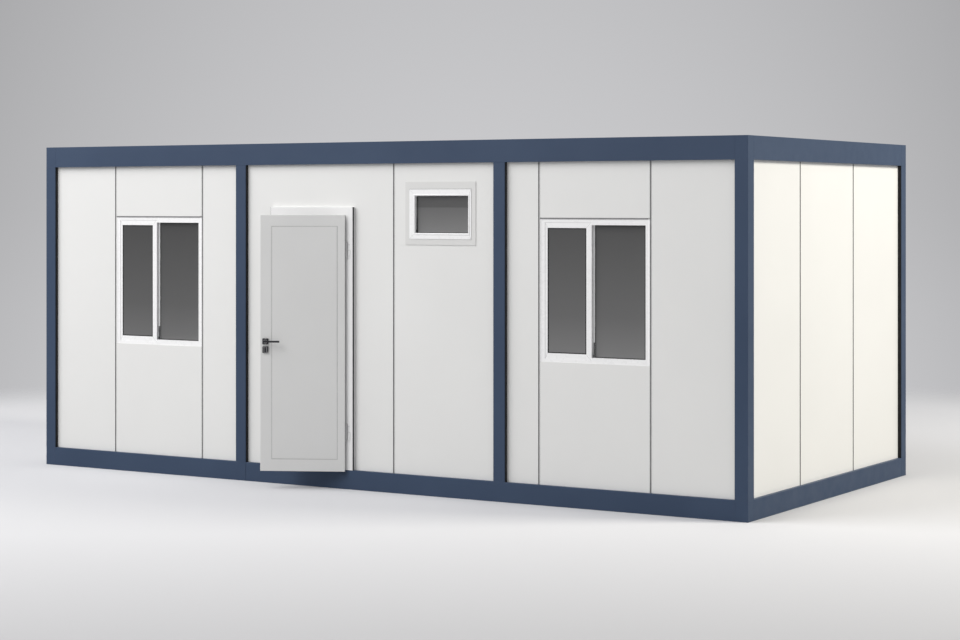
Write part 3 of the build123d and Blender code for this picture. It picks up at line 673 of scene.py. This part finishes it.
# %% Bead and seal
(frame_low, frame_high), = solids("small_window_frame")
(pane_low, pane_high), = solids("small_window_pane")
low, high = pane_low + (tuck, 0, tuck), pane_high - (tuck, 0, tuck)  # the part of the pane in sight
bow = np.linspace(0, np.pi, 9)
bead = np.stack((-0.0085 + 0.005 * np.cos(bow), 0.0001 + 0.003 * np.sin(bow)), 1)
piece("small_window_bead", [ring(low, high, frame_low[1], bead)], "window_plastic")
trim_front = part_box("small_window_trim")[0].y
joint_line = [(0, 0.0001), (0.0028, 0.0001), (0.0004, 0.0026), (0, 0.0026)]
ends = [(x, trim_front, frame_high[2]) for x in (frame_low[0], frame_high[0])]
piece("small_window_seal", [carry(ends, front_up, front_out, joint_line)], "grey_rubber")

# %% Latch
def slab(low, high, place):
    """A plain box between two corners, in the measures of place."""
    (a, b, c), (d, e, f) = low, high
    lower = place((a, d, d, a), b, (c, c, f, f))
    return quads(np.stack((lower, place((a, d, d, a), e, (c, c, f, f)))))


def in_room(along, up, out):
    """Points of the cabin from x, height and depth."""
    return np.stack(np.broadcast_arrays(*(np.array(value, float) for value in (along, out, up))), -1)


catch = []
for tall, proud in ((0.11, 0.006), (0.024, 0.012)):
    front_corner = (low[0] + 0.003, low[2] + 0.002, low[1] - proud)
    back_corner = (low[0] + 0.007, low[2] + tall, low[1] - 0.0001)
    catch.append(slab(front_corner, back_corner, in_room))
piece("small_window_latch", catch, "lever_metal")

# %% [markdown]
# ### Grey strips over the windows
# Above each window the head panel stops a finger's width short. A grey strip closes the gap, flush
# with the skin; its grey is painted shade for the shadow in the gap, and from a distance it reads as
# one thin line over the frame.

# %% Grey strips over the windows
# the strip's grey is painted shade, the shadow in the gap over the frame
gap_shade = [(0.0003, -0.0095), (0.0003, 0), (0.0097, -0.0005), (0.0097, -0.0095)]
left_gap, right_gap = 0.01, 0.026
strips = []
for low, high in solids("window_frames"):
    ends = [(low[0] + left_gap, skin, high[2]), (high[0] - right_gap, skin, high[2])]
    strips.append(carry(ends, front_up, front_out, gap_shade))
piece("window_gap_shades", strips, "grey_rubber")

# %% [markdown]
# ### Mitre lines
# Plastic and steel frames are cut at 45 degrees and welded, which leaves a hairline in every corner.
# It is drawn as a very thin dark strip that lies on the surface, one from each outer corner to the
# inner one.

# %% Mitre lines
def mitres(low, high, low_in, high_in, y, width=0.0009):
    """Four hairlines from the corners of an upright rectangle to those of a smaller one in it."""
    half = width / 2
    hairline = [(-half, 0), (half, 0), (half, 0.0002), (-half, 0.0002)]
    outer, inner = (low, high), (low_in, high_in)
    lines = []
    for x, z in ((0, 0), (1, 0), (1, 1), (0, 1)):
        ends = np.array(((outer[x][0], y, outer[z][2]), (inner[x][0], y, inner[z][2])))
        along = (ends[1] - ends[0]) / np.linalg.norm(ends[1] - ends[0])
        across = np.cross(along, front_out)
        face = np.cross(across / np.linalg.norm(across), along)
        face *= np.sign(face @ front_out)
        lines.append(carry(ends, across, face, hairline))
    return lines


mitred = (
    ("window_left_sashes", "window_left_panes", 0.002),
    ("window_right_sashes", "window_right_panes", 0.002),
    ("small_window_frame", "small_window_pane", 0.003),
)
lines = []
for sashes, panes, bevel in mitred:
    rebate = np.array((tuck - bevel, 0, tuck - bevel))
    for (low, high), (pane_low, pane_high) in zip(solids(sashes), solids(panes)):
        lines += mitres(low, high, pane_low + rebate, pane_high - rebate, low[1])
piece("mitre_lines", lines, "grey_rubber")

# %% [markdown]
# ## Door details
# The leaf turns on a pivot beside its right edge and stands a little open. Things on the leaf are set
# out in its own directions, found from the joint: along it towards the pivot, up, and outwards.

# %% The leaf's own directions
joint = next(j for j in frame["record"]["behaviour"]["joints"] if j["name"] == "door_hinge")
pivot, ajar = np.array(joint["pos_m"]), -radians(joint["range_deg"][0])
leaf_run = np.array((np.cos(ajar), np.sin(ajar), 0))
leaf_out = np.array((np.sin(ajar), -np.cos(ajar), 0))


def on_leaf(along, up, out):
    """Points from measures along the leaf, up from the ground and outwards of the pivot."""
    along, up, out = np.broadcast_arrays(*(np.array(value, float) for value in (along, up, out)))
    flat = along[..., None] * leaf_run + out[..., None] * leaf_out + (pivot[0], pivot[1], 0)
    return flat + up[..., None] * front_up


def leaf_measures(node):
    """The same three measures for the corner points of a node that turns with the leaf."""
    away = points(node) - (pivot[0], pivot[1], 0)
    return np.stack((away @ leaf_run, away[:, 2], away @ leaf_out), 1)


def leaf_ring(low, high, out, profile):
    """A profile carried round a rectangle of the leaf, given by two corners along it and up."""
    corners = on_leaf((low[0], high[0], high[0], low[0]), (low[1], low[1], high[1], high[1]), out)
    return carry(corners, inward_run * leaf_run + inward_up * front_up, leaf_out, profile, loop=True)


leaf = leaf_measures("door_leaf")
lip_low, lip_high = leaf.min(0), leaf.max(0)
body = leaf[leaf[:, 2] < -0.01]
print("leaf, m:", np.round(lip_high - lip_low, 3))
print("body behind its lip, m:", np.round(body.max(0) - body.min(0), 3))

# %% [markdown]
# ### The door's seal
# A soft rubber seal lies round the sides and the top of the opening, under the lip of the leaf. It
# has a flat foot and a round bulb, which nearly fills the gap to the lip of a closed door.

# %% Door seal
(jamb_low, jamb_high), = solids("door_jamb_left")
(other_low, other_high), = solids("door_jamb_right")
(head_low, head_high), = solids("door_frame_head")
left, right, foot, top = jamb_high[0], other_low[0], jamb_low[2], head_low[2]
bow = np.linspace(0, np.pi, 7)
bulb = np.stack((-0.007 - 0.0035 * np.cos(bow), 0.0015 + 0.0025 * np.sin(bow)), 1)
seal = np.concatenate(([(-0.0125, 0)], [(-0.0125, 0.0015)], bulb, [(-0.0015, 0.0015), (-0.0015, 0)]))
path = [(x, jamb_low[1], z) for x, z in ((left, foot), (left, top), (right, top), (right, foot))]
side = np.array(((1, 0, 0), (1, 0, -1), (-1, 0, -1), (-1, 0, 0)), float)
piece("door_seal", [carry(path, side, front_out, seal)], "pale_rubber")

# %% [markdown]
# ### Frame linings and the leaf's bead
# Black tape on the sides of the door frame is painted shade: it darkens them as shadow would. Pale mastic
# fills the frame's corner to the wall. On the leaf, a grey bead fills the groove round the inner panel.
# It slopes down towards the panel, so its left and upper sides face away from the light and look darker
# than the other two.

# %% Frame linings and leaf bead
tape_end = skin - jamb_low[1] - 0.0025
tape_start = tape_end - 0.014
tape = [(0.0002, tape_start), (0.0002, tape_end), (0.0018, tape_end), (0.002, tape_start)]
bow = np.linspace(np.pi, 1.5 * np.pi, 6)
fillet = 0.0062 + 0.006 * np.stack((np.cos(bow), np.sin(bow)), 1)
fillet = np.concatenate((fillet, [(0.0002, 0.0002)]))
ends = np.array(((0, skin, wall_foot), (0, skin, head_high[2] - 0.001)))
sides = ((jamb_low[0], -1), (other_high[0], 1))
tapes = [carry(ends + (x, 0, 0), way * front_run, front_out, tape) for x, way in sides]
mastic = [carry(ends + (x, 0, 0), way * front_run, front_out, fillet) for x, way in sides]
# black tape: painted shade on the sides of the door frame
piece("door_frame_shade_tapes", tapes, "black_rubber")
piece("door_frame_mastic", mastic, "mastic")

groove_depth = 0.002
groove_floor = leaf[np.abs(leaf[:, 2] - lip_high[2] + groove_depth) < 1e-4]
wedge = [(0.0003, 0.0001), (0.0003, 0.0018), (0.0057, 0.0003), (0.0057, 0.0001)]
outline = leaf_ring(groove_floor.min(0), groove_floor.max(0), lip_high[2] - groove_depth, wedge)
piece("leaf_bead", [outline], "sealant", "door")

# %% [markdown]
# ### Threshold and lock edge
# An aluminium plate with fine ribs covers the sill, where feet tread. The lock's face plate shows in
# the edge of the open leaf, with its latch and bolt, and a strike plate with two holes faces it on
# the jamb. All heights on the lock are set out from the lever's.

# %% Threshold
tread_width, rib_steps = 0.096, 61
ribs = np.linspace(0, 1, rib_steps)
tread = np.stack((ribs * tread_width, 0.0008 + 0.0005 * (np.arange(rib_steps) % 4 < 2)), 1)
tread = np.concatenate((tread, [(tread_width, 0), (0, 0)]))
ends = [(left + 0.001, jamb_low[1] + 0.002, foot), (right - 0.001, jamb_low[1] + 0.002, foot)]
piece("threshold_plate", [carry(ends, (0, 1, 0), front_up, tread)], "aluminium")

# %% Lock edge and strike plate
handle_up = float(leaf_measures("door_lever")[:, 1].mean())
edge_along = body[:, 0].min()


def on_edge(ups, outs, start, end):
    """A slab on the leaf's lock edge: heights from the lever's, depths, then its start and end outwards."""
    low = (edge_along - end, handle_up + ups[0], outs[0])
    high = (edge_along - start, handle_up + ups[1], outs[1])
    return slab(low, high, on_leaf)


def on_jamb(ups, depths, start, end):
    """The same on the side of the left jamb that faces the lock."""
    low = (left + start, handle_up + ups[0], jamb_low[1] + depths[0])
    high = (left + end, handle_up + ups[1], jamb_low[1] + depths[1])
    return slab(low, high, in_room)


plate_face, bolt_depths = 0.0006, (-0.023, -0.011)
plates = [on_edge((-0.15, 0.09), (-0.026, -0.008), 0, plate_face)]
bolts = [
    on_edge((-0.016, 0.016), bolt_depths, plate_face, 0.0035),
    on_edge((-0.1, -0.062), bolt_depths, plate_face, 0.0014),
]
piece("lock_faceplate", plates, "aluminium", "door")
piece("lock_bolts", bolts, "zinc_plate", "door")

strike_face = 0.001
strike = on_jamb((-0.11, 0.09), (0.003, 0.023), 0, strike_face)
# the two holes are black slabs on the plate: painted shade for the dark inside the holes
holes = [on_jamb(ups, (0.007, 0.019), strike_face, 0.0012) for ups in ((-0.02, 0.02), (-0.1, -0.06))]
piece("strike_plate", [strike], "aluminium")
piece("strike_hole_shades", holes, "black_rubber")

# %% [markdown]
# ### Turned parts
# Screw heads, washers and the lock cylinder are all round, so one function turns an outline on an
# axis. Copies of a finished shape are then set down at many places at once.

# %% Turned parts and copies
def turned(outline, axis, sides=16):
    """A shape turned on an axis through the origin; the outline gives height and radius of each ring."""
    axis = np.array(axis, float)
    across = np.cross(axis, (0.31, 0.23, 0.92))
    across /= np.linalg.norm(across)
    over = np.cross(axis, across)
    angle = np.linspace(0, 2 * np.pi, sides + 1)[:-1]
    rise, radius = np.array(outline, float).T
    circle = np.cos(angle)[:, None] * across + np.sin(angle)[:, None] * over
    return quads(radius[:, None, None] * circle + rise[:, None, None] * axis)


def copies(shape, places):
    """Copies of one shape, one at each place."""
    spots, sides = shape
    return [(spots + place, sides) for place in np.reshape(places, (-1, 3))]


dome = [(0, 0.0045), (0.0008, 0.0045), (0.0016, 0.0036), (0.002, 0.0022)]
socket = [(0.002, 0.0018), (0.0008, 0.0012), (0.0007, 0.0001)]
pan_head = dome + socket
screw_inset = 0.018
hinges = solids("jamb_hinges")
heights = [np.linspace(low[2] + screw_inset, high[2] - screw_inset, 3) for low, high in hinges]
screw_x, screw_y = hinges[0][1][0] - 0.011, jamb_low[1] - 0.003
screws = [(screw_x, screw_y, height) for height in np.concatenate(heights)]
piece("hinge_screws", copies(turned(pan_head, front_out), screws), "aluminium")

# %% [markdown]
# ### Key hole and plate screws
# The lock cylinder shows as a round drum with a tail below it, in a bright rim, and a slit takes the
# key. The lever's plate has a rim too. Small screws hold the plates, outside and in the room.

# %% Cylinder, rims and screws
plate = leaf_measures("lock_plates")
outer = plate[plate[:, 2] > 0]
key_along, key_up, key_out = outer[:, 0].mean(), outer[:, 1].min() + 0.026, outer[:, 2].max()


def by_key(half_width, ups, outs):
    """A slab set out from the middle of the key hole: half its width, heights and depths."""
    low = (key_along - half_width, key_up + ups[0], key_out + outs[0])
    high = (key_along + half_width, key_up + ups[1], key_out + outs[1])
    return slab(low, high, on_leaf)


drum = turned([(0, 0.0085), (0.002, 0.0085), (0.0028, 0.0078), (0.0028, 0.0001)], leaf_out, 24)
tail = by_key(0.005, (-0.021, -0.002), (0, 0.0026))
# the slit is a black slab: painted shade for the opening that takes the key
slit = by_key(0.0011, (-0.0045, 0.0045), (0.0028, 0.003))
piece("lock_cylinder", copies(drum, on_leaf(key_along, key_up, key_out)) + [tail], "lever_metal", "door")
piece("key_slit_shade", [slit], "black_rubber", "door")
rim = [(0, 0), (0, 0.0008), (0.0022, 0.0008), (0.0022, 0)]
rims = []
for up, half, tall in ((handle_up, 0.0125, 0.0125), (key_up, 0.0115, 0.0225)):
    low, high = (key_along - half, up - tall), (key_along + half, up + tall)
    rims.append(leaf_ring(low, high, key_out, rim))
piece("lock_rims", rims, "aluminium", "door")
screws_up = np.array((key_up + 0.02, key_up - 0.021, handle_up + 0.02, handle_up - 0.02))
screws_along = key_along + np.array((-0.018, 0.018, 0, 0))
small_head = np.array(pan_head) * (0.7, 0.6)
outside = copies(turned(small_head, leaf_out, 12), on_leaf(screws_along, screws_up, key_out))
inner = plate[plate[:, 2] < 0]
inner_ups = (inner[:, 1].min() + 0.012, inner[:, 1].max() - 0.012)
inside = on_leaf(key_along, inner_ups, inner[:, 2].min())
inside = copies(turned(small_head, -leaf_out, 12), inside)
piece("plate_screws", outside + inside, "zinc_plate", "door")

# %% [markdown]
# ## Welds at the corner blocks
# Rails and posts are welded to the corner blocks. A welder lays the bead in small overlapping steps,
# so its height ripples. The half-round profile is therefore scaled at each step of the path by a wave.

# %% Welds
def weld(start, end, outward, width=0.004, rise=0.0008, step=0.004):
    """A half-round bead from start to end whose width and height ripple once in every step."""
    start, end, outward = (np.array(value, float) for value in (start, end, outward))
    run = end - start
    count = int(np.linalg.norm(run) / step * 6) + 2
    share = np.linspace(0, 1, count)[:, None]
    across = np.cross(run / np.linalg.norm(run), outward)
    swell = 0.86 + 0.14 * np.abs(np.sin(np.arange(count) * np.pi / 6))[:, None]
    bow = np.linspace(0, np.pi, 6)
    arc = np.stack((np.cos(bow) * width / 2, np.sin(bow) * rise), 1)
    return carry(start + share * run, across * swell, outward * swell, arc)


(x0, y0, z0), (x1, y1, z1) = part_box("corner_blocks_bottom")[0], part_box("corner_blocks_top")[1]
block_width = x1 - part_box("bottom_rail_front")[1].x
end_gap = 0.003
beads = []
for x, way in ((x0, 1), (x1, -1)):
    for y, turn in ((y0, 1), (y1, -1)):
        seam_x, seam_y = x + way * block_width, y + turn * block_width
        outward_x, outward_y = (-way, 0, 0), (0, -turn, 0)
        for low, high, level in ((z0, wall_foot, wall_foot), (wall_head, z1, wall_head)):
            low, high = low + end_gap, high - end_gap
            level_x = ((x + way * end_gap, y, level), (seam_x - way * end_gap, y, level))
            level_y = ((x, y + turn * end_gap, level), (x, seam_y - turn * end_gap, level))
            beads.append(weld((seam_x, y, low), (seam_x, y, high), outward_y))
            beads.append(weld((x, seam_y, low), (x, seam_y, high), outward_x))
            beads.append(weld(*level_x, outward_y))
            beads.append(weld(*level_y, outward_x))
piece("corner_welds", beads, "frame_steel")

# %% [markdown]
# ## Roof screws
# The ribbed sheet is screwed to the purlins with hexagon screws on rubber washers. Each screw must sit
# on a flat, so it is nudged sideways to the crest or the pan of the rib it meets.

# %% Roof screws
roof_low, roof_high = (np.array(corner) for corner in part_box("roof_sheet"))
purlins = np.array([(low[0] + high[0]) / 2 for low, high in solids("roof_purlins")])
rib_count, sheet = 30, 0.002
crest, half_rib, slope_end = 0.018, 0.037, 0.056  # from a rib's middle: flat top, middle of slope, pan
pitch = (roof_high[0] - roof_low[0]) / rib_count
nearest = (np.floor((purlins - roof_low[0]) / pitch) + 0.5) * pitch + roof_low[0]
from_rib = purlins - nearest
on_crest = np.abs(from_rib) < half_rib
to_crest = np.clip(from_rib, -crest, crest)
to_pan = np.sign(from_rib) * np.maximum(np.abs(from_rib), slope_end)
nudged = np.where(on_crest, to_crest, to_pan)
level = np.where(on_crest, roof_high[2], roof_low[2] + sheet)
row_inset, row_count = 0.12, 9
rows = np.linspace(roof_low[1] + row_inset, roof_high[1] - row_inset, row_count)
places = np.stack(np.broadcast_arrays((nearest + nudged)[:, None], rows[None], level[:, None]), -1)
washer = turned([(0, 0.0085), (0.0015, 0.0085), (0.0025, 0.0065), (0.0025, 0.0001)], front_up, 20)
flats = [(0.0025, 0.0001), (0.0025, 0.0046), (0.007, 0.0046), (0.008, 0.0034), (0.008, 0.0001)]
hexagon = turned(flats, front_up, 6)
piece("roof_washers", copies(washer, places), "black_rubber")
piece("roof_screws", copies(hexagon, places), "zinc_plate", angle=25)
print("screws on crests:", int(on_crest.sum()) * len(rows), "of", places[..., 0].size)

# %% [markdown]
# ## Rib closers and upstand
# Foam closers fill both ends of every rib against rain and birds, and a folded upstand closes the
# channel between the sheet and the rails.

# %% Roof closers and upstand
middles = roof_low[0] + (np.arange(rib_count) + 0.5) * pitch
plug = np.array([(-0.042, 0), (-0.0262, 0.0272), (0.0262, 0.0272), (0.042, 0)])
closers = []
for y, way in ((roof_low[1], 1), (roof_high[1], -1)):
    for x in middles:
        ends = [(x, y + way * inwards, roof_low[2] + 0.0005) for inwards in (0.004, 0.03)]
        closers.append(carry(ends, front_run, front_up, plug))
piece("rib_closers", closers, "black_rubber")

beyond = np.array((0.003, 0.003, 0))
low, high = roof_low - beyond, roof_high + beyond
rail_lip = z1 - 0.005
upstand = [(0, roof_low[2]), (0, rail_lip), (-0.0015, rail_lip), (-0.0015, roof_low[2])]
corners = [(low[0], low[1], 0), (high[0], low[1], 0), (high[0], high[1], 0), (low[0], high[1], 0)]
inward = [(1, 1, 0), (-1, 1, 0), (-1, -1, 0), (1, -1, 0)]
piece("roof_upstand", [carry(corners, inward, front_up, upstand, loop=True)], "galvanised_steel")

# %% [markdown]
# ## Trim in the room
# Little of the room shows through the door gap, but a bare one would look unfinished: skirting along
# the deck, a coving under the ceiling, flat strips over the joints and plates over the posts.

# %% Room trim
room_x, room_y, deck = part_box("floor_deck")[1]
ceiling_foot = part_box("ceiling")[0].z
board = [(0.0004, 0.0004), (0.0004, 0.098), (0.006, 0.098), (0.010, 0.09), (0.010, 0.0004)]
door_margin = 0.03
turns = [(room_x, -room_y), (room_x, room_y), (-room_x, room_y), (-room_x, -room_y)]
side = [(-1, 1, 0), (-1, -1, 0), (1, -1, 0), (1, 1, 0)]
around = [(right + door_margin, -room_y), *turns, (left - door_margin, -room_y)]
path = [(x, y, deck) for x, y in around]
piece("skirting", [carry(path, [(0, 1, 0), *side, (0, 1, 0)], front_up, board)], "window_plastic")

cove_size, hollow = 0.04, 0.036
bow = np.linspace(0, np.pi / 2, 8)
cove = np.stack((cove_size - hollow * np.sin(bow), -cove_size + hollow * np.cos(bow)), 1)
cove = np.concatenate(([(0.0004, -0.0004)], cove))
path = [(x, y, ceiling_foot) for x, y in turns]
piece("coving", [carry(path, side, front_up, cove, loop=True)], "window_plastic")

# %% Wall strips

over_joint = [(-0.018, 0), (-0.016, 0.0025), (0.016, 0.0025), (0.018, 0)]
over_post = [(-0.065, 0), (-0.063, 0.003), (0.063, 0.003), (0.065, 0)]
strip_foot, strip_head = deck + 0.1, ceiling_foot - cove_size
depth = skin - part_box("front_plain_panels")[1].y
strips = []
for wall_side, places in joints.items():
    run, outward = (np.array((*walls[wall_side][k], 0)) for k in (1, 2))
    for along in places:
        ends = on_wall(wall_side, along, (strip_foot, strip_head), depth - 0.0002)
        strips.append(carry(ends, run, -outward, over_joint))
for low, high in solids("mid_posts"):
    inner_face = low[1] if low[1] > 0 else high[1]
    inwards = -np.sign(inner_face) * np.array((0, 1, 0))
    x = (low[0] + high[0]) / 2
    ends = [(x, inner_face, strip_foot), (x, inner_face, strip_head)] + inwards * 0.0002
    strips.append(carry(ends, front_run, inwards, over_post))
piece("wall_strips", strips, "window_plastic")

# %% [markdown]
# ## Size after dressing
# The size of the whole is printed before and after dressing, to show that nothing grew.

# %% Finish
now_low, now_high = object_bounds()
grown = np.array((np.array(now_high) - cad_high, cad_low - np.array(now_low)))
print("grew by, mm:", np.round(grown * 1000, 2))
